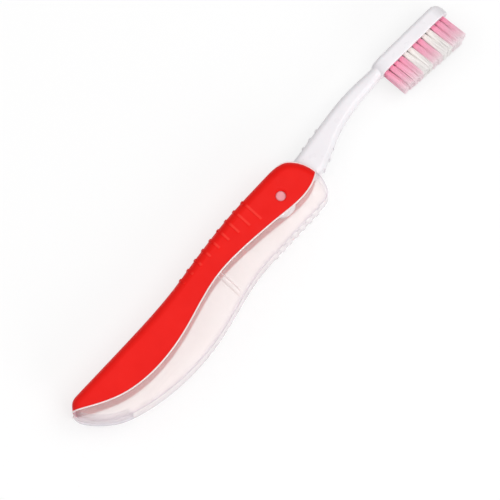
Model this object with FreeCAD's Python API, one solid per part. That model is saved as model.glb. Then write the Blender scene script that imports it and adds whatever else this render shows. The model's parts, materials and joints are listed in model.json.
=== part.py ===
import FreeCAD, Part
import math
import os

# Folding travel toothbrush: a brush arm that turns on a pin and folds into its own clear case.
# The brush lies on one cheek. X runs from the tail to the toe of the head, Y to the spine of the case,
# and Z up from the table. Each piece is made with the hinge axis at X = 0, Y = 0, and saved with the
# origin under the middle of the open brush. Sizes are in mm.

Vec = FreeCAD.Vector
Y_AXIS = Vec(0, 1, 0)
Z_AXIS = Vec(0, 0, 1)

# Brush head, from its heel at the neck to its toe
arm_reach = 82.3  # hinge axis to toe
head_length = 30.8
head_width = 11.0
head_thickness = 4.9
head_face = 3.1  # bristle face at the heel, above the hinge axis in Y
head_tilt = 2.8  # degrees that the head dips to its bristle side, towards the toe
back_edge_round = 1.3
face_edge_round = 0.4
toe_plan_round = 5.0
toe_back_round = 3.6
heel_plan_round = 5.0

# Bristle rows, counted from the toe
row_colours = ["pink"] * 3 + ["white"] * 2 + ["pink"] * 2 + ["white"] * 2 + ["pink"] * 4
row_pitch = 2.1
column_pitch = 2.4
columns = 4
end_columns = 3
toe_row_inset = 2.85
toe_tuft_length = 10.4
heel_tuft_length = 9.2
toe_row_trim = 0.7  # the first row is cut shorter
tuft_lean = 6.0  # degrees that a tuft leans to the toe
tuft_root_radius = 0.8
tuft_tip_gap = 0.08  # between the tips of neighbouring rows
tuft_tip_round = 0.3
tuft_hole_depth = 3.1
tuft_hole_lead = 0.4  # the hole's cutter starts this far outside the bristle face
tuft_fit = 0.02
anchor_bite = 0.12  # how far an anchor plate cuts into the wall of its hole
anchor_thickness = 0.25
anchor_height = 1.3
anchor_cover = 0.35  # fold of the tuft between the anchor and the bottom of the hole

# Neck sections: share of the way from hinge to heel, front and back edges in Y, and how much slimmer
# than the tang the neck is there
neck_sections = [
    (0.25, -3.6, 5.2, 0.7),
    (0.39, -2.8, 6.1, 2.2),
    (0.55, 0.3, 7.2, 4.3),
    (0.72, 2.2, 8.0, 5.5),
    (0.89, 2.9, 7.8, 5.3),
    (1.00, 3.2, 7.3, 3.9),
]
neck_corner = 1.8
neck_sink = 4.0  # the neck runs this far into the head
neck_cover = 0.05  # and ends this far under the back of the head
neck_front_step = 1.2  # the bristle face stands this far in front of the neck
root_inset = 0.3  # the neck starts this far inside the tang
neck_rib_start = 17.2
neck_rib_pitch = 3.6
neck_rib_count = 3
neck_rib_width = 0.9
neck_rib_height = 0.4
neck_rib_inset = 0.6  # the ribs stop this far short of the sides of the neck

# Hinge
tang_radius = 5.0
pin_radius = 1.7
pin_end_chamfer = 0.25
pin_press_gap = 0.01
pin_running_gap = 0.05
pin_window_radius = 2.1  # hole in the grip that shows the end of the pin
fold_angle = 175.0

# Layers and gaps of the case, from the outside in
rib_height = 0.3
grip_skin = 0.8
core_wall = 0.9
spine_wall = 1.2
pocket_depth = 0.4
head_side_gap = 0.35
tang_side_gap = 0.3
tang_room = 1.1
bristle_room = 0.5
edge_round = 3.2

# Case outline: a nose arc round the hinge, a straight slot edge, a belly, a tail arc and the spine.
# The shapes are curve poles: share of the way from hinge to tail, and height over the named line.
tail_room = 15.7  # toe of the arm to end of the tail, both measured from the hinge
tail_round = 4.6
tail_height = 0.3
tail_turn = 28.0
tail_lead = 9.0
nose_radius = 13.0
nose_x = 1.1
nose_y = -3.0
nose_end = 45.0
shoulder_round = 4.2
slot_drop = 11.5
slot_straight = 0.12
slot_lead = 7.0
curve_lead = 3.0
slot_shape = [(0.925, 0.9), (0.84, -2.6), (0.725, -5.3), (0.605, -6.2), (0.48, -5.4), (0.355, -2.5), (0.25, -0.3)]
spine_shape = [(-0.005, 0.0), (0.08, 0.1), (0.18, 0.0), (0.29, -0.9), (0.41, -2.3)]

# Openings of the case
mouth_past_toe = 3.0
mouth_height = 6.0
arm_exit = 6.6  # end of the spine wall, where the open arm stops
pocket_start = 31.5
pocket_drop = 11.8
pocket_round = 1.8

# Grip border on the cheeks, as shares of the way from hinge to tail with heights in Y
grip_border = [
    (-0.150, -2.1), (-0.095, -4.9), (-0.030, -5.4), (0.060, -4.3), (0.195, -2.8), (0.325, -2.5), (0.420, -4.0),
    (0.530, -6.7), (0.655, -8.5), (0.760, -8.2), (0.855, -5.9), (0.935, -1.9), (1.020, 3.2),
]
grip_rib_start = 9.9
grip_rib_pitch = 4.05
grip_rib_count = 9
grip_rib_width = 0.8
grip_rib_reach = 9.0  # how far the first rib runs down the cheek
grip_rib_fade = 0.85  # each further rib is this share as long
slot_rib_start = 5.3
slot_rib_pitch = 3.2
slot_rib_count = 7
slot_rib_width = 1.3
slot_rib_height = 0.35
slot_rib_rise = 3.0

# Sizes that follow from the ones above
half_gap = head_width / 2 + head_side_gap
case_thickness = 2 * (half_gap + pocket_depth + core_wall + grip_skin + rib_height)
mid_z = case_thickness / 2
gap_low = mid_z - half_gap
gap_high = mid_z + half_gap
tang_width = 2 * (half_gap - tang_side_gap)
core_inset = rib_height + grip_skin
cavity_inset = core_inset + spine_wall
hinge = Vec(0, 0, 0)
heel_x = arm_reach - head_length
heel = Vec(heel_x, head_face, 0)
head_back = head_face + head_thickness
hole_bottom = head_face + tuft_hole_depth
hole_radius = tuft_root_radius + tuft_fit
tuft_tip_radius = (row_pitch - tuft_tip_gap) / 2
tail_reach = arm_reach + tail_room
tail_centre = Vec(tail_round - tail_reach, tail_height, 0)
tail_angle = 180 + tail_turn
nose_centre = Vec(nose_x, nose_y, 0)
spine_line = tang_radius + tang_room + cavity_inset
row_count = len(row_colours)
everywhere = (-2 * tail_reach, 2 * tail_reach)
touch = 1e-6


def row_x(row):
    return arm_reach - toe_row_inset - row * row_pitch


def row_tip(row):
    length = toe_tuft_length + (heel_tuft_length - toe_tuft_length) * row / (row_count - 1)
    trim = toe_row_trim if row == 0 else 0
    return head_face - length + trim


def row_places(row):
    count = end_columns if row in (0, row_count - 1) else columns
    return [(row_x(row), mid_z + (i - (count - 1) / 2) * column_pitch) for i in range(count)]


def turned(point, centre, degrees):
    return centre + FreeCAD.Rotation(Z_AXIS, degrees).multVec(point - centre)


def folded(point):
    return turned(point, hinge, -fold_angle)


def heel_tip():
    # The tip of the last row, on its heel side
    root = Vec(row_x(row_count - 1), head_face, 0)
    tip = Vec(root.x - tuft_tip_radius, row_tip(row_count - 1), 0)
    return turned(turned(tip, root, tuft_lean), heel, -head_tilt)


def along(share):
    return -share * tail_reach


def block(x_range, y_range, z_range):
    low = Vec(x_range[0], y_range[0], z_range[0])
    return Part.makeBox(x_range[1] - low.x, y_range[1] - low.y, z_range[1] - low.z, low)


def slabs(start, pitch, count, width, y_low):
    # A row of thin plates across X, each open above its own lower end
    rows = [(start + i * pitch - width / 2, y_low(i)) for i in range(count)]
    return Part.makeCompound([block((x, x + width), (low, everywhere[1]), (0, case_thickness)) for x, low in rows])


def prism(wire, z_low, z_high):
    flat = Part.Face(wire)
    flat.translate(Vec(0, 0, z_low))
    return flat.extrude(Vec(0, 0, z_high - z_low))


def round_edges(solid, radius, wanted):
    return solid.makeFillet(radius, [edge for edge in solid.Edges if wanted(edge)])


def runs_along(edge, axis):
    return edge.Curve.TypeId == "Part::GeomLine" and abs(edge.Curve.Direction.dot(axis)) > 1 - touch


# Outline of the case, walked with its inside on the left
def smooth_curve(poles):
    curve = Part.BSplineCurve()
    curve.buildFromPoles(poles, False, 3)
    return curve


def inset_curve(poles, inset):
    # Each pole moves along its own normal, and the two at each end together, which keeps the end tangents
    curve = smooth_curve(poles)
    knots = curve.KnotSequence
    places = [sum(knots[i + 1:i + 4]) / 3 for i in range(len(poles))]
    places[1] = places[0]
    places[-2] = places[-1]
    ahead = [curve.tangent(place)[0] for place in places]
    return smooth_curve([pole + Vec(-a.y, a.x, 0) * inset for pole, a in zip(poles, ahead)]).toShape()


def arc(centre, radius, start, end):
    circle = Part.Circle(centre, Z_AXIS, radius)
    return Part.ArcOfCircle(circle, math.radians(start), math.radians(end)).toShape()


def on_arc(centre, radius, angle):
    turn = math.radians(angle)
    return centre + Vec(math.cos(turn), math.sin(turn), 0) * radius


def arc_heading(angle):
    turn = math.radians(angle)
    return Vec(-math.sin(turn), math.cos(turn), 0)


def spine_poles():
    nose = on_arc(nose_centre, nose_radius, nose_end)
    tail_top = tail_centre + Vec(0, tail_round, 0)
    poles = [nose, nose + arc_heading(nose_end) * curve_lead]
    poles += [Vec(along(share), spine_line + rise, 0) for share, rise in spine_shape]
    poles.append(folded(heel_tip()) + Y_AXIS * (bristle_room + cavity_inset))
    return poles + [tail_top + Vec(tail_lead, 0, 0), tail_top]


def slot_poles():
    tail = on_arc(tail_centre, tail_round, tail_angle)
    straight = Vec(along(slot_straight), -slot_drop, 0)
    poles = [tail, tail + arc_heading(tail_angle) * curve_lead]
    poles += [Vec(along(share), rise - slot_drop, 0) for share, rise in slot_shape]
    return poles + [straight - Vec(slot_lead, 0, 0), straight]


def case_outline(inset):
    shoulder_y = shoulder_round - slot_drop
    reach = math.sqrt((nose_radius - shoulder_round) ** 2 - (shoulder_y - nose_y) ** 2)
    shoulder = Vec(nose_x + reach, shoulder_y, 0)
    shoulder_angle = math.degrees(math.atan2(shoulder_y - nose_y, reach))
    slot_y = inset - slot_drop
    return Part.Wire([
        inset_curve(spine_poles(), inset),
        arc(tail_centre, tail_round - inset, 90, tail_angle),
        inset_curve(slot_poles(), inset),
        Part.makeLine(Vec(along(slot_straight), slot_y, 0), Vec(shoulder.x, slot_y, 0)),
        arc(shoulder, shoulder_round - inset, -90, shoulder_angle),
        arc(nose_centre, nose_radius - inset, shoulder_angle, nose_end),
    ])


def envelope(inset):
    # The case's outer form, shrunk on all sides
    body = prism(case_outline(inset), inset, case_thickness - inset)
    return round_edges(body, edge_round - inset, lambda edge: edge.BoundBox.ZLength < touch)


# Case halves, grip and pin
def grip_zone():
    points = [Vec(along(share), y, 0) for share, y in grip_border]
    border = Part.BSplineCurve()
    border.interpolate(points)
    first, last = points[0], points[-1]
    above = [last, Vec(last.x, everywhere[1], 0), Vec(first.x, everywhere[1], 0), first]
    return prism(Part.Wire([border.toShape()] + Part.makePolygon(above).Edges), -case_thickness, 2 * case_thickness)


def arm_way():
    return block((arm_exit, everywhere[1]), everywhere, (gap_low, gap_high))


def cavity():
    mouth_end = folded(Vec(arm_reach, head_face, 0)).x - mouth_past_toe
    hollow = prism(case_outline(cavity_inset), gap_low, gap_high)
    mouth = block((mouth_end, everywhere[1]), (everywhere[0], -mouth_height), (gap_low, gap_high))
    pocket_z = (gap_low - pocket_depth, gap_high + pocket_depth)
    window = block((mouth_end, -pocket_start), (-pocket_drop, everywhere[1]), pocket_z)
    window = round_edges(window, pocket_round, lambda edge: runs_along(edge, Z_AXIS) and edge.CenterOfMass.y < 0)
    pocket = prism(case_outline(cavity_inset), *pocket_z).common(window)
    return hollow.fuse([mouth, arm_way(), pocket])


def hinge_hole(radius):
    return Part.makeCylinder(radius, case_thickness)


def slot_ribs():
    body = prism(case_outline(-slot_rib_height), 0, case_thickness)
    body = round_edges(body, edge_round, lambda edge: edge.BoundBox.ZLength < touch)
    plates = slabs(slot_rib_start, -slot_rib_pitch, slot_rib_count, slot_rib_width, lambda i: everywhere[0])
    return body.common(plates).common(block(everywhere, (everywhere[0], slot_rib_rise - slot_drop), everywhere))


def make_case():
    shell = envelope(0).cut(grip_zone())
    case = envelope(core_inset).fuse([shell, slot_ribs()])
    return case.cut([cavity(), hinge_hole(pin_radius + pin_press_gap)]).removeSplitter()


def case_half(case, z_low, z_high):
    return case.common(block(everywhere, everywhere, (z_low, z_high)))


def rib_foot(i):
    x = -grip_rib_start - i * grip_rib_pitch
    upright = Part.LineSegment(Vec(x, 0, 0), Vec(x, everywhere[1], 0))
    top = smooth_curve(spine_poles()).intersectCC(upright)[0]
    return top.Y - grip_rib_reach * grip_rib_fade ** i


def make_grip():
    ribs = envelope(0).common(slabs(-grip_rib_start, -grip_rib_pitch, grip_rib_count, grip_rib_width, rib_foot))
    skin = envelope(rib_height).fuse(ribs).common(grip_zone())
    return skin.cut([envelope(core_inset), arm_way(), hinge_hole(pin_window_radius)]).removeSplitter()


def make_pin():
    pin = Part.makeCylinder(pin_radius, case_thickness - 2 * core_inset, Vec(0, 0, core_inset))
    return pin.makeChamfer(pin_end_chamfer, [edge for edge in pin.Edges if edge.BoundBox.ZLength < touch])


# Brush arm: tang, neck and head in one piece
def rounded_section(x, front, back, width):
    half = width / 2 - neck_corner
    low = front + neck_corner
    high = back - neck_corner
    corners = []
    for i, (y, z) in enumerate([(high, half), (low, half), (low, -half), (high, -half)]):
        turns = [math.radians(90 * i + step) for step in (0, 45, 90)]
        centre = Vec(x, y, mid_z + z)
        corners.append([centre + Vec(0, math.cos(turn), math.sin(turn)) * neck_corner for turn in turns])
    edges = []
    for i, points in enumerate(corners):
        edges.append(Part.Arc(*points).toShape())
        edges.append(Part.makeLine(points[2], corners[(i + 1) % 4][0]))
    return Part.Wire(edges)


def make_neck(grow, slim):
    root = tang_radius - root_inset
    sections = [(0, -root, root, tang_width - root_inset)]
    sections += [(share * heel_x, front, back, tang_width - less) for share, front, back, less in neck_sections]
    dip = neck_sink * math.tan(math.radians(head_tilt))
    front, back = head_face + neck_front_step - dip, head_back - neck_cover - dip
    sections.append((heel_x + neck_sink, front, back, head_width - neck_sink))
    wires = [rounded_section(x, front - grow, back + grow, width - 2 * slim) for x, front, back, width in sections]
    return Part.makeLoft(wires, True, False)


def make_neck_ribs():
    plates = slabs(neck_rib_start, neck_rib_pitch, neck_rib_count, neck_rib_width, lambda i: everywhere[0])
    return make_neck(neck_rib_height, neck_rib_inset).common(plates)


def make_head():
    blank = block((heel_x, arm_reach), (head_face, head_back), (mid_z - head_width / 2, mid_z + head_width / 2))
    middle = heel_x + head_length / 2
    plan = round_edges(blank, toe_plan_round, lambda e: runs_along(e, Y_AXIS) and e.CenterOfMass.x > middle)
    plan = round_edges(
        plan, heel_plan_round, lambda e: runs_along(e, Y_AXIS) and e.CenterOfMass.x < heel_x + touch
    )
    side = round_edges(
        blank, toe_back_round,
        lambda e: runs_along(e, Z_AXIS) and e.CenterOfMass.x > middle and e.CenterOfMass.y > head_back - touch,
    )
    head = plan.common(side)
    head = round_edges(
        head, back_edge_round,
        lambda e: e.BoundBox.YMax > head_face + touch and not runs_along(e, Y_AXIS) and not runs_along(e, Z_AXIS),
    )
    return round_edges(head, face_edge_round, lambda e: e.BoundBox.YMax < head_face + touch)


def on_head(shape):
    # The head is made level, and then dips about the bristle face at its heel
    return shape.rotated(heel, Z_AXIS, -head_tilt)


def seated(shape, x):
    # A tuft is made upright, and then leans to the toe about its root
    return on_head(shape.rotated(Vec(x, head_face, 0), Z_AXIS, tuft_lean))


def tuft_hole(x, z):
    start = Vec(x, head_face - tuft_hole_lead, z)
    return Part.makeCylinder(hole_radius, tuft_hole_depth + tuft_hole_lead, start, Y_AXIS)


def make_anchor(x, z):
    half = hole_radius + anchor_bite
    top = hole_bottom - anchor_cover
    x_range = (x - anchor_thickness / 2, x + anchor_thickness / 2)
    return block(x_range, (top - anchor_height, top), (z - half, z + half))


def make_tuft(x, z, tip):
    root = Part.makeCylinder(tuft_root_radius, tuft_hole_depth, Vec(x, head_face, z), Y_AXIS)
    flare = Part.makeCone(tuft_root_radius, tuft_tip_radius, head_face - tip, Vec(x, head_face, z), -Y_AXIS)
    flare = round_edges(flare, tuft_tip_round, lambda edge: edge.BoundBox.YMax < tip + touch)
    return root.fuse(flare).cut(make_anchor(x, z)).removeSplitter()


def make_arm():
    tang = Part.makeCylinder(tang_radius, tang_width, Vec(0, 0, mid_z - tang_width / 2))
    arm = tang.fuse([make_neck(0, 0), on_head(make_head()), make_neck_ribs()])
    cuts = [hinge_hole(pin_radius + pin_running_gap)]
    for row in range(row_count):
        for x, z in row_places(row):
            cuts += [seated(tuft_hole(x, z), x), seated(make_anchor(x, z), x)]
    return arm.cut(cuts).removeSplitter()


def make_parts():
    case = make_case()
    parts = {
        "front_case_half": case_half(case, mid_z, case_thickness).Solids,
        "rear_case_half": case_half(case, 0, mid_z).Solids,
        "spine_grip": make_grip().Solids,
        "hinge_pin": [make_pin()],
        "brush_arm": make_arm().Solids,
    }
    for row, colour in enumerate(row_colours):
        places = row_places(row)
        parts[f"tuft_row_{row + 1:02d}_{colour}"] = [seated(make_tuft(x, z, row_tip(row)), x) for x, z in places]
        parts[f"anchor_row_{row + 1:02d}"] = [seated(make_anchor(x, z), x) for x, z in places]
    return parts


def frame_origin():
    box = case_outline(0).optimalBoundingBox()
    toe = on_head(make_head()).optimalBoundingBox().XMax
    return Vec((box.XMin + toe) / 2, (box.YMin + box.YMax) / 2, 0)


def main():
    os.makedirs("parts", exist_ok=True)
    origin = frame_origin()
    for name, solids in make_parts().items():
        Part.makeCompound(solids).translated(-origin).exportStep(os.path.join("parts", name + ".step"))


main()
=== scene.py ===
import json
import math
import random

import bpy
from mathutils import Matrix, Vector

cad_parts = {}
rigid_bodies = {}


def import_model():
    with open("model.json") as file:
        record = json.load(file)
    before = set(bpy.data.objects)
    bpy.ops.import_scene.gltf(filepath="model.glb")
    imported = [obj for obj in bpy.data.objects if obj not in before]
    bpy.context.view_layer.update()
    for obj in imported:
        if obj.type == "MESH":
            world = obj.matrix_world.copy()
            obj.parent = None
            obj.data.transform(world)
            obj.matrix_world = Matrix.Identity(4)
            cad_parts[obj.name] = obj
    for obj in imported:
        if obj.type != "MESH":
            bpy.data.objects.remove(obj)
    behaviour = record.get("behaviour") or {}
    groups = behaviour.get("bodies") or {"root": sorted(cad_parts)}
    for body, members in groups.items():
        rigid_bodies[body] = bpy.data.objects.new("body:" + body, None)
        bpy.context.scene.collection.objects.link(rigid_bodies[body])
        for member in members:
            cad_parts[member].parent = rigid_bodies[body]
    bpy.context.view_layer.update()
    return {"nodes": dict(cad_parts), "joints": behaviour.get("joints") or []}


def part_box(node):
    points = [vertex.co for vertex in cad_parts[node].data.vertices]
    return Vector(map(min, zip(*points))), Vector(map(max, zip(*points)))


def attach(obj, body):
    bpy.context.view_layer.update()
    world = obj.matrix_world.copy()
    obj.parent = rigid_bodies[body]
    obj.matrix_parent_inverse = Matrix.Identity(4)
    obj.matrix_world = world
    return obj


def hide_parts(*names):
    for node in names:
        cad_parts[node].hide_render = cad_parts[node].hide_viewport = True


for item in list(bpy.data.objects):
    bpy.data.objects.remove(item)
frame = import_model()
nodes = frame["nodes"]

MM = 0.001
HINGE = Vector(frame["joints"][0]["pos_m"])

# Camera, as the photo sees the brush
VIEW_TURN = math.radians(47.5)
VIEW_TILT = math.radians(10.0)
VIEW_WIDTH = 162.5 * MM
VIEW_CENTRE = HINGE + Vector((-18.9, -3.8, 0.0)) * MM
LENS = 800.0
SENSOR = 36.0
CLIP_START = 0.01

# Floor
FLOOR_REACH = 30.0
FLOOR_DROP = 0.05 * MM  # keeps the floor clear of the case that lies on it

# Materials
NOISE_RANGE = (0.3, 0.7)  # most values of the noise lie between these
GRAIN_DEPTH = 0.02 * MM
EDGE_SHADE_RANGE = (0.06, 0.55)  # share of the turn away from the eye over which painted shade turns the clear plastic's colour lavender grey
RIB_HIGHLIGHT_LEVELS = (8.0 * MM, 8.2 * MM)  # the tops of the grip's ribs lie this far from the middle of the case, where a painted highlight pales the red

# Case
CLOSE = 0.005 * MM  # points nearer than this count as one
FACE_INSET = 0.01 * MM  # parts the faces of two mouldings that touch, so that light finds both
CORE_INSET = 1.1 * MM  # depth of the step in the clear core that the grip lies in
HALF_GAP = 5.85 * MM  # from the middle of the case to the inside of its cheeks
ROUNDING = 3.5 * MM  # length of the border on the rounding of the nose or the tail
FLAT = 0.99  # least height of a flat face's normal
UPRIGHT = 0.05  # largest height of an upright face's normal
BORDER_FACING = 0.5  # least Y of a normal on the wall of the border, which faces the spine
NOSE_RIM = 6.0 * MM  # the rim of the nose starts this far ahead of the hinge
NOSE_LEAN = 0.6  # largest height of a normal there
NOSE_FACING = (0.15, -0.5)  # least X and Y of a normal there
POCKET_START = HINGE.x - 31.5 * MM
POCKET_REACH = 0.5 * MM
HIGHLIGHT_BEAD_RADIUS = 0.25 * MM
POCKET_HIGHLIGHT_RADIUS = 0.18 * MM
HIGHLIGHT_BEAD_ROUNDNESS = 3
WINDOW_RADIUS = 2.1 * MM
PIN_RADIUS = 1.7 * MM
SEAT_THICKNESS = 0.3 * MM
SEAT_SIDES = 64

# Bristles
TUFT_SPLIT = 0.2 * MM  # least gap in Z between the tufts of a row
RING_DEPTH = 0.3 * MM  # an end ring of a tuft lies within this of its end
HOLE_DEPTH = 3.1 * MM
ROOT_SINK = 0.5 * MM  # the filaments start this far inside the hole
ROOT_RADIUS = 0.9 * MM
FLARE_RADIUS = 1.06 * MM  # a tuft meets its neighbours just above its hole
FLARE_SHARE = 0.16  # share of the filament's length up to there
TIP_RADIUS = 1.25 * MM
TUFT_LENGTH = 10.4 * MM
FILAMENTS = 70
FILAMENT_RADIUS = 0.12 * MM
FILAMENT_SIDES = 6
# Shares of a filament's length, each with its share of the radius
FILAMENT_TAPER = [(0.0, 1.0), (FLARE_SHARE, 1.0), (0.6, 1.0), (0.85, 0.95), (0.96, 0.8), (0.99, 0.5)]
GOLDEN_TURN = math.pi * (3 - math.sqrt(5))  # spreads the filaments evenly over their tuft
TIP_STRAY = 0.22 * MM
TIP_RAGGED = 1.0 * MM  # the shortest filament ends this far below the tip of its tuft
RAGGED_POWER = 1.5  # over 1, so most filaments are only a little short
SEED = 7


# Shader nodes
def set_values(node, values):
    for name, value in values.items():
        node.inputs[name].default_value = value


def math_node(tree, operation, *values):
    node = tree.nodes.new("ShaderNodeMath")
    node.operation = operation
    for socket, value in zip(node.inputs, values):
        if isinstance(value, float):
            socket.default_value = value
        else:
            tree.links.new(value, socket)
    return node.outputs[0]


def map_range(tree, value, low, high, to_low=0.0, to_high=1.0):
    node = tree.nodes.new("ShaderNodeMapRange")
    set_values(node, {"From Min": low, "From Max": high, "To Min": to_low, "To Max": to_high})
    tree.links.new(value, node.inputs["Value"])
    return node.outputs["Result"]


def blend_colours(tree, share, colour, other):
    node = tree.nodes.new("ShaderNodeMix")
    node.data_type = "RGBA"
    tree.links.new(share, node.inputs["Factor"])
    tree.links.new(colour, node.inputs["A"])
    node.inputs["B"].default_value = (*other, 1)
    return node.outputs["Result"]


def colour_ramp(tree, factor, stops):
    ramp = tree.nodes.new("ShaderNodeValToRGB")
    while len(ramp.color_ramp.elements) < len(stops):
        ramp.color_ramp.elements.new(0.5)
    for element, (position, colour) in zip(ramp.color_ramp.elements, stops):
        element.position = position
        element.color = (*colour, 1)
    tree.links.new(factor, ramp.inputs["Fac"])
    return ramp.outputs["Color"]


def object_place(tree):
    return tree.nodes.new("ShaderNodeTexCoord").outputs["Object"]


def object_noise(tree, scale, detail):
    noise = tree.nodes.new("ShaderNodeTexNoise")
    set_values(noise, {"Scale": scale, "Detail": detail})
    tree.links.new(object_place(tree), noise.inputs["Vector"])
    return noise.outputs["Fac"]


def noise_colour(tree, scale, low, high):
    noise = object_noise(tree, scale, detail=3.0)
    return colour_ramp(tree, noise, list(zip(NOISE_RANGE, (low, high))))


def new_material(name, roughness):
    material = bpy.data.materials.new(name)
    material.use_nodes = True
    surface = material.node_tree.nodes["Principled BSDF"]
    surface.inputs["Roughness"].default_value = roughness
    return material, material.node_tree, surface


def vary_colour(tree, surface, scale, low, high):
    tree.links.new(noise_colour(tree, scale, low, high), surface.inputs["Base Color"])


def vary_roughness(tree, surface, scale, spread):
    # Spreads the roughness to both sides of the surface's own
    middle = surface.inputs["Roughness"].default_value
    noise = object_noise(tree, scale, detail=4.0)
    roughness = map_range(tree, noise, *NOISE_RANGE, middle - spread, middle + spread)
    tree.links.new(roughness, surface.inputs["Roughness"])


def grain(tree, surface, scale, strength):
    bump = tree.nodes.new("ShaderNodeBump")
    set_values(bump, {"Strength": strength, "Distance": GRAIN_DEPTH})
    tree.links.new(object_noise(tree, scale, detail=2.0), bump.inputs["Height"])
    tree.links.new(bump.outputs["Normal"], surface.inputs["Normal"])


# Stage
def new_object(name, data):
    item = bpy.data.objects.new(name, data)
    bpy.context.scene.collection.objects.link(item)
    return item


def view_axes():
    right = Vector((math.cos(VIEW_TURN), -math.sin(VIEW_TURN), 0))
    ahead = Vector((math.sin(VIEW_TURN), math.cos(VIEW_TURN), 0))
    up = ahead * math.cos(VIEW_TILT) + Vector((0, 0, math.sin(VIEW_TILT)))
    return right, up, right.cross(up)


def make_camera():
    right, up, back = view_axes()
    data = bpy.data.cameras.new("camera")
    data.sensor_width = SENSOR
    data.lens = LENS
    data.clip_start = CLIP_START
    camera = new_object("camera", data)
    place = VIEW_CENTRE + back * VIEW_WIDTH * LENS / SENSOR
    camera.matrix_world = Matrix.Translation(place) @ Matrix((right, up, back)).transposed().to_4x4()
    bpy.context.scene.camera = camera


def make_lamp(name, size, power, side, height, nearness):
    right, up, back = view_axes()
    data = bpy.data.lights.new(name, "AREA")
    data.shape = "DISK"
    data.size = size
    data.energy = power
    lamp = new_object(name, data)
    place = VIEW_CENTRE + right * side + up * height + back * nearness
    turn = (VIEW_CENTRE - place).to_track_quat("-Z", "Y")
    lamp.matrix_world = Matrix.Translation(place) @ turn.to_matrix().to_4x4()
    lamp.visible_camera = False


def make_world(ambient):
    # White where it is seen, and dimmer as a source of light
    world = bpy.data.worlds.new("studio")
    world.use_nodes = True
    tree = world.node_tree
    sky = tree.nodes["Background"]
    sky.inputs["Color"].default_value = (1, 1, 1, 1)
    path = tree.nodes.new("ShaderNodeLightPath").outputs
    seen = math_node(tree, "MAXIMUM", path["Is Camera Ray"], path["Is Glossy Ray"])
    seen = math_node(tree, "MAXIMUM", seen, path["Is Transmission Ray"])
    strength = math_node(tree, "MAXIMUM", seen, ambient)
    tree.links.new(strength, sky.inputs["Strength"])
    bpy.context.scene.world = world


def make_floor(lift, through):
    # lift brightens the floor where the camera sees it, through where clear plastic or gloss shows it
    sides = [(-1, -1), (1, -1), (1, 1), (-1, 1)]
    corners = [(x * FLOOR_REACH, y * FLOOR_REACH, -FLOOR_DROP) for x, y in sides]
    mesh = bpy.data.meshes.new("floor")
    mesh.from_pydata(corners, [], [(0, 1, 2, 3)])
    floor = new_object("floor", mesh)
    material, tree, surface = new_material("floor", roughness=0.9)
    set_values(surface, {
        "Base Color": (0.32, 0.32, 0.32, 1),
        "Specular IOR Level": 0.1,
        "Emission Color": (1, 1, 1, 1),
    })
    path = tree.nodes.new("ShaderNodeLightPath").outputs
    indirect = math_node(tree, "MAXIMUM", path["Is Glossy Ray"], path["Is Transmission Ray"])
    glow = math_node(tree, "MULTIPLY", indirect, through)
    glow = math_node(tree, "MAXIMUM", glow, math_node(tree, "MULTIPLY", path["Is Camera Ray"], lift))
    tree.links.new(glow, surface.inputs["Emission Strength"])
    mesh.materials.append(material)


# Materials
def clear_material():
    # Milky plastic, with painted shade that turns its colour lavender grey where it is seen edge on
    material, tree, surface = new_material("frosted_clear", roughness=0.09)
    milk = noise_colour(tree, scale=90, low=(1.0, 0.91, 0.89), high=(1.0, 0.94, 0.925))
    facing = tree.nodes.new("ShaderNodeLayerWeight").outputs["Facing"]
    # Painted shade: the milky colour greys towards lavender at the edges
    colour = blend_colours(tree, map_range(tree, facing, *EDGE_SHADE_RANGE), milk, other=(0.53, 0.46, 0.58))
    tree.links.new(colour, surface.inputs["Base Color"])
    vary_roughness(tree, surface, scale=160, spread=0.03)
    set_values(surface, {"IOR": 1.1, "Alpha": 0.45, "Transmission Weight": 0.55})
    return material


# Near-white colour of the beads that paint the highlights along the clear plastic's edges
def highlight_bead_material():
    material, tree, surface = new_material("painted_highlight_bead", roughness=0.25)
    vary_colour(tree, surface, scale=300, low=(0.98, 0.84, 0.83), high=(1.0, 0.88, 0.87))
    return material


def grip_material():
    # Red rubber, paler on the tops of its ribs as a painted highlight
    material, tree, surface = new_material("red_rubber", roughness=0.42)
    red = noise_colour(tree, scale=120, low=(0.87, 0.006, 0.003), high=(0.91, 0.009, 0.005))
    parts = tree.nodes.new("ShaderNodeSeparateXYZ")
    tree.links.new(object_place(tree), parts.inputs["Vector"])
    from_middle = math_node(tree, "ABSOLUTE", math_node(tree, "SUBTRACT", parts.outputs["Z"], HINGE.z))
    # Painted highlight on the rib tops
    colour = blend_colours(tree, map_range(tree, from_middle, *RIB_HIGHLIGHT_LEVELS), red, other=(0.97, 0.035, 0.024))
    tree.links.new(colour, surface.inputs["Base Color"])
    vary_roughness(tree, surface, scale=300, spread=0.06)
    surface.inputs["Specular IOR Level"].default_value = 0.15
    grain(tree, surface, scale=5000, strength=0.25)
    return material


def arm_material():
    material, tree, surface = new_material("white_moulding", roughness=0.31)
    vary_colour(tree, surface, scale=70, low=(0.87, 0.84, 0.87), high=(0.90, 0.87, 0.90))
    vary_roughness(tree, surface, scale=200, spread=0.05)
    grain(tree, surface, scale=900, strength=0.08)
    set_values(surface, {
        "Subsurface Weight": 0.4,
        "Subsurface Radius": (1.0, 0.9, 0.9),
        "Subsurface Scale": 1.2 * MM,
    })
    return material


def pin_material():
    # The pin is translucent white; its pink is a painted reflection of the red grip round it
    material, tree, surface = new_material("pin_with_painted_reflection", roughness=0.35)
    vary_colour(tree, surface, scale=500, low=(0.80, 0.27, 0.32), high=(0.88, 0.38, 0.42))
    grain(tree, surface, scale=2500, strength=0.1)
    return material


def anchor_material():
    material, tree, surface = new_material("brass", roughness=0.25)
    surface.inputs["Metallic"].default_value = 1.0
    vary_colour(tree, surface, scale=2000, low=(0.72, 0.52, 0.24), high=(0.82, 0.62, 0.30))
    return material


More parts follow.
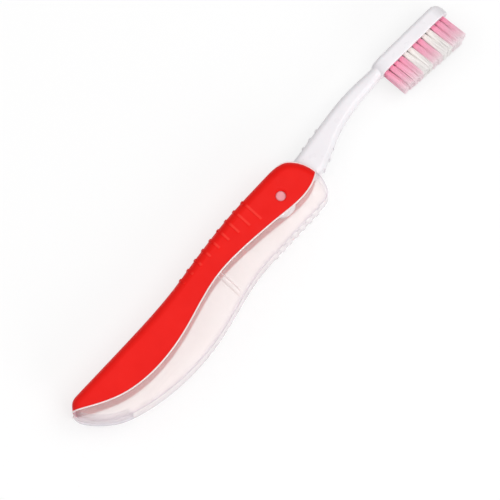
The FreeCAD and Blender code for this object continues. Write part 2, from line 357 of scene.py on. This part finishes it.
def bristle_material(name, face, outward, stops):
    # Colour along the filaments, by the distance from the bristle face: deeper at the roots as painted
    # shade within the tuft, and paler at the tips as painted light through their translucent ends
    material, tree, surface = new_material(name, roughness=0.4)
    away = tree.nodes.new("ShaderNodeVectorMath")
    away.operation = "DOT_PRODUCT"
    away.inputs[1].default_value = outward
    tree.links.new(object_place(tree), away.inputs[0])
    start = face.dot(outward)
    along = map_range(tree, away.outputs["Value"], start, start + TUFT_LENGTH)
    tree.links.new(colour_ramp(tree, along, stops), surface.inputs["Base Color"])
    set_values(surface, {"Sheen Weight": 1.0, "Sheen Roughness": 0.4, "Sheen Tint": (1.0, 0.9, 0.92, 1)})
    return material


def dress(name, material):
    mesh = nodes[name].data
    mesh.materials.clear()
    mesh.materials.append(material)


# Case
def part_faces(name):
    # Keeps the faces of a node just inside it, clear of the piece that it is moulded on
    inset = nodes[name].modifiers.new("inset", "DISPLACE")
    inset.mid_level = 0.0
    inset.strength = -FACE_INSET


def in_order(places):
    # From the tail to the nose, and there from the spine to the bristle side
    return sorted(places, key=lambda place: place.x - place.y)


def on_border(normal, place):
    return normal.y > BORDER_FACING


def on_nose(normal, place):
    least_x, least_y = NOSE_FACING
    return place.x > HINGE.x + NOSE_RIM and normal.x > least_x and normal.y > least_y


def on_pocket(normal, place):
    return abs(place.x - POCKET_START) < POCKET_REACH


def step_edge(node, level, depth, lean, chosen):
    # Points at one level of Z where a flat face meets a chosen step, with its least depth and largest lean
    mesh = nodes[node].data
    flat, step = {}, set()
    for face in mesh.polygons:
        places = [mesh.vertices[corner].co for corner in face.vertices]
        deep = max(abs(place.z - level) for place in places) > depth - CLOSE
        for place in places:
            spot = (round(place.x / CLOSE), round(place.y / CLOSE))
            if abs(place.z - level) < CLOSE:
                if abs(face.normal.z) > FLAT:
                    flat[spot] = place
                elif abs(face.normal.z) < lean and deep and chosen(face.normal, place):
                    step.add(spot)
    return in_order(flat[spot] for spot in step if spot in flat)


def falling_edge(node, last, heading, inward):
    # Points beyond the last one, where the border runs down the rounding of the nose or the tail
    mesh = nodes[node].data
    outside, step = {}, {}
    for face in mesh.polygons:
        for place in (mesh.vertices[corner].co for corner in face.vertices):
            spot = tuple(round(part / CLOSE) for part in place)
            if CLOSE < heading * (place.x - last.x) < ROUNDING:
                rising = on_border(face.normal, place) and heading * face.normal.x < 0
                if abs(face.normal.z) < UPRIGHT and rising:
                    step[spot] = face.normal
                elif -inward * face.normal.z > UPRIGHT:
                    outside.setdefault(spot, []).append((place, face.center))
    # Only an outside face behind the wall of the step makes a convex edge with it
    edge = {}
    for spot, normal in step.items():
        for place, centre in outside.get(spot, []):
            if (centre - place).dot(normal) < 0:
                edge[spot] = place
    return in_order(edge.values())


def add_trim(name, data, material):
    data.materials.append(material)
    piece = new_object(name, data)
    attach(piece, "handle")


def make_highlight_bead(name, points, radius, inward, material):
    # Painted highlight: a bright opaque bead along an edge of the clear plastic, standing in for the light
    # that the edge catches
    curve = bpy.data.curves.new(name, "CURVE")
    curve.dimensions = "3D"
    curve.bevel_depth = radius
    curve.bevel_resolution = HIGHLIGHT_BEAD_ROUNDNESS
    curve.use_fill_caps = True
    path = curve.splines.new("POLY")
    path.points.add(len(points) - 1)
    for point, place in zip(path.points, points):
        point.co = (place.x, place.y, place.z + inward * (radius + FACE_INSET), 1)
    add_trim(name, curve, material)


def make_seat(name, level, inward, material):
    # Skin of the grip at the bottom of the window round the pin
    section = [
        (PIN_RADIUS, 0), (WINDOW_RADIUS, 0),
        (WINDOW_RADIUS, SEAT_THICKNESS), (PIN_RADIUS, SEAT_THICKNESS),
    ]
    count = len(section)
    vertices, faces = [], []
    for side in range(SEAT_SIDES):
        turn = 2 * math.pi * side / SEAT_SIDES
        here, after = count * side, count * ((side + 1) % SEAT_SIDES)
        for i, (radius, rise) in enumerate(section):
            place = HINGE.to_2d() + radius * Vector((math.cos(turn), math.sin(turn)))
            vertices.append((*place, level - inward * rise))
            along = (i + 1) % count
            faces.append((here + i, after + i, after + along, here + along))
    mesh = bpy.data.meshes.new(name)
    mesh.from_pydata(vertices, [], faces)
    # The seat of the rear half is the mirror image, so its faces are turned outwards
    if inward > 0:
        mesh.flip_normals()
    add_trim(name, mesh, material)


def trim_case(bright, red):
    halves = {"front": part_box("front_case_half")[1][2], "rear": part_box("rear_case_half")[0][2]}
    for half, level in halves.items():
        node = half + "_case_half"
        inward = 1 if level < HINGE.z else -1
        gap_level = HINGE.z - inward * HALF_GAP
        border = step_edge(node, level, CORE_INSET, UPRIGHT, on_border)
        before = falling_edge(node, border[0], -1, inward)
        beyond = falling_edge(node, border[-1], 1, inward)
        pocket = step_edge(node, gap_level, 0.0, UPRIGHT, on_pocket)
        rim = step_edge("spine_grip", gap_level, 0.0, NOSE_LEAN, on_nose)
        # Bright beads along the border, the pocket and the nose rim paint the highlights of the clear
        # plastic's edges
        make_highlight_bead(half + "_border_highlight", before + border + beyond, HIGHLIGHT_BEAD_RADIUS, inward, bright)
        make_highlight_bead(half + "_pocket_highlight", pocket, POCKET_HIGHLIGHT_RADIUS, -inward, bright)
        make_highlight_bead(half + "_nose_highlight", rim, HIGHLIGHT_BEAD_RADIUS, -inward, bright)
        make_seat(half + "_pin_seat", level + inward * CORE_INSET, inward, red)


# Bristles
def ring_centre(group, end):
    level = end(place.y for place in group)
    ring = [place for place in group if abs(place.y - level) < RING_DEPTH]
    low = Vector([min(place[i] for place in ring) for i in range(3)])
    high = Vector([max(place[i] for place in ring) for i in range(3)])
    return (low + high) / 2


def tufts_of(node):
    # Where each tuft of a row leaves the bristle face, and its tip
    places = sorted((vertex.co for vertex in nodes[node].data.vertices), key=lambda place: place.z)
    groups = [[places[0]]]
    for before, place in zip(places, places[1:]):
        if place.z - before.z > TUFT_SPLIT:
            groups.append([])
        groups[-1].append(place)
    tufts = []
    for group in groups:
        bottom, tip = ring_centre(group, max), ring_centre(group, min)
        tufts.append((bottom + (tip - bottom).normalized() * HOLE_DEPTH, tip))
    return tufts


def spoke(across, turn):
    # Unit vector square to a tuft
    return across * math.cos(turn) + Vector((0, 0, math.sin(turn)))


def filament(vertices, faces, root, flare, tip, across):
    # Closed rod from the root through the flare to the tip
    first = len(vertices)
    for share, swell in FILAMENT_TAPER:
        past_flare = (share - FLARE_SHARE) / (1 - FLARE_SHARE)
        centre = flare.lerp(tip, past_flare) if share > 0 else root
        for side in range(FILAMENT_SIDES):
            edge = spoke(across, 2 * math.pi * side / FILAMENT_SIDES)
            vertices.append(centre + edge * FILAMENT_RADIUS * swell)
    for ring in range(len(FILAMENT_TAPER) - 1):
        low = first + ring * FILAMENT_SIDES
        high = low + FILAMENT_SIDES
        for side in range(FILAMENT_SIDES):
            after = (side + 1) % FILAMENT_SIDES
            faces.append((low + side, low + after, high + after, high + side))
    top = first + (len(FILAMENT_TAPER) - 1) * FILAMENT_SIDES
    peak = len(vertices)
    vertices.append(tip)
    for side in range(FILAMENT_SIDES):
        faces.append((top + side, top + (side + 1) % FILAMENT_SIDES, peak))
    faces.append(tuple(first + side for side in reversed(range(FILAMENT_SIDES))))


def make_bristles(node, material, draw):
    vertices, faces = [], []
    for face, tip in tufts_of(node):
        down = (tip - face).normalized()
        across = Vector((-down.y, down.x, 0))
        root = face - down * ROOT_SINK
        for i in range(FILAMENTS):
            reach = math.sqrt((i + 0.5) / FILAMENTS)
            away = spoke(across, i * GOLDEN_TURN) * reach
            stray = across * draw.uniform(-TIP_STRAY, TIP_STRAY)
            stray.z += draw.uniform(-TIP_STRAY, TIP_STRAY)
            short = TIP_RAGGED * draw.random() ** RAGGED_POWER
            start = root + away * (ROOT_RADIUS - FILAMENT_RADIUS)
            flare = root.lerp(tip, FLARE_SHARE) + away * (FLARE_RADIUS - FILAMENT_RADIUS)
            end = tip - down * short + away * (TIP_RADIUS - FILAMENT_RADIUS) + stray
            filament(vertices, faces, start, flare, end, across)
    name = node.replace("tuft_row", "bristles")
    mesh = bpy.data.meshes.new(name)
    mesh.from_pydata(vertices, [], faces)
    mesh.shade_smooth()
    mesh.materials.append(material)
    bristles = new_object(name, mesh)
    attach(bristles, "arm")
    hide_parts(node)


def make_all_bristles():
    rows = sorted(name for name in nodes if name.startswith("tuft_row"))
    toe, heel = tufts_of(rows[0])[0][0], tufts_of(rows[-1])[0][0]
    along = (toe - heel).normalized()
    outward = Vector((along.y, -along.x, 0)).normalized()
    # The filaments' own pink and white, deepened towards the roots by painted shade and paled towards the
    # tips by painted light
    pink = bristle_material("pink_filament", toe, outward, [
        (0.0, (0.98, 0.28, 0.45)), (0.15, (1.0, 0.40, 0.57)), (0.5, (1.0, 0.53, 0.67)),
        (0.75, (1.0, 0.72, 0.80)), (0.95, (1.0, 0.92, 0.94)),
    ])
    white = bristle_material("white_filament", toe, outward, [
        (0.0, (0.98, 0.90, 0.86)), (0.2, (1.0, 0.95, 0.92)), (1.0, (1.0, 0.98, 0.97)),
    ])
    draw = random.Random(SEED)
    for name in rows:
        colour = name.split("_")[-1]
        make_bristles(name, pink if colour == "pink" else white, draw)


bpy.context.scene.view_settings.view_transform = "Standard"
make_camera()
make_world(ambient=0.42)
make_floor(lift=0.7, through=0.95)
make_lamp("key", size=0.7, power=3.0, side=0.32, height=0.2, nearness=0.8)
make_lamp("fill", size=0.9, power=1.4, side=-0.55, height=0.1, nearness=0.7)
make_lamp("low", size=0.6, power=2.3, side=0.45, height=-0.5, nearness=0.35)

clear = clear_material()
red = grip_material()
dress("front_case_half", clear)
dress("rear_case_half", clear)
dress("spine_grip", red)
for name in ("front_case_half", "rear_case_half", "spine_grip"):
    part_faces(name)
trim_case(highlight_bead_material(), red)
dress("hinge_pin", pin_material())
dress("brush_arm", arm_material())
brass = anchor_material()
for name in nodes:
    if name.startswith("anchor"):
        dress(name, brass)
make_all_bristles()
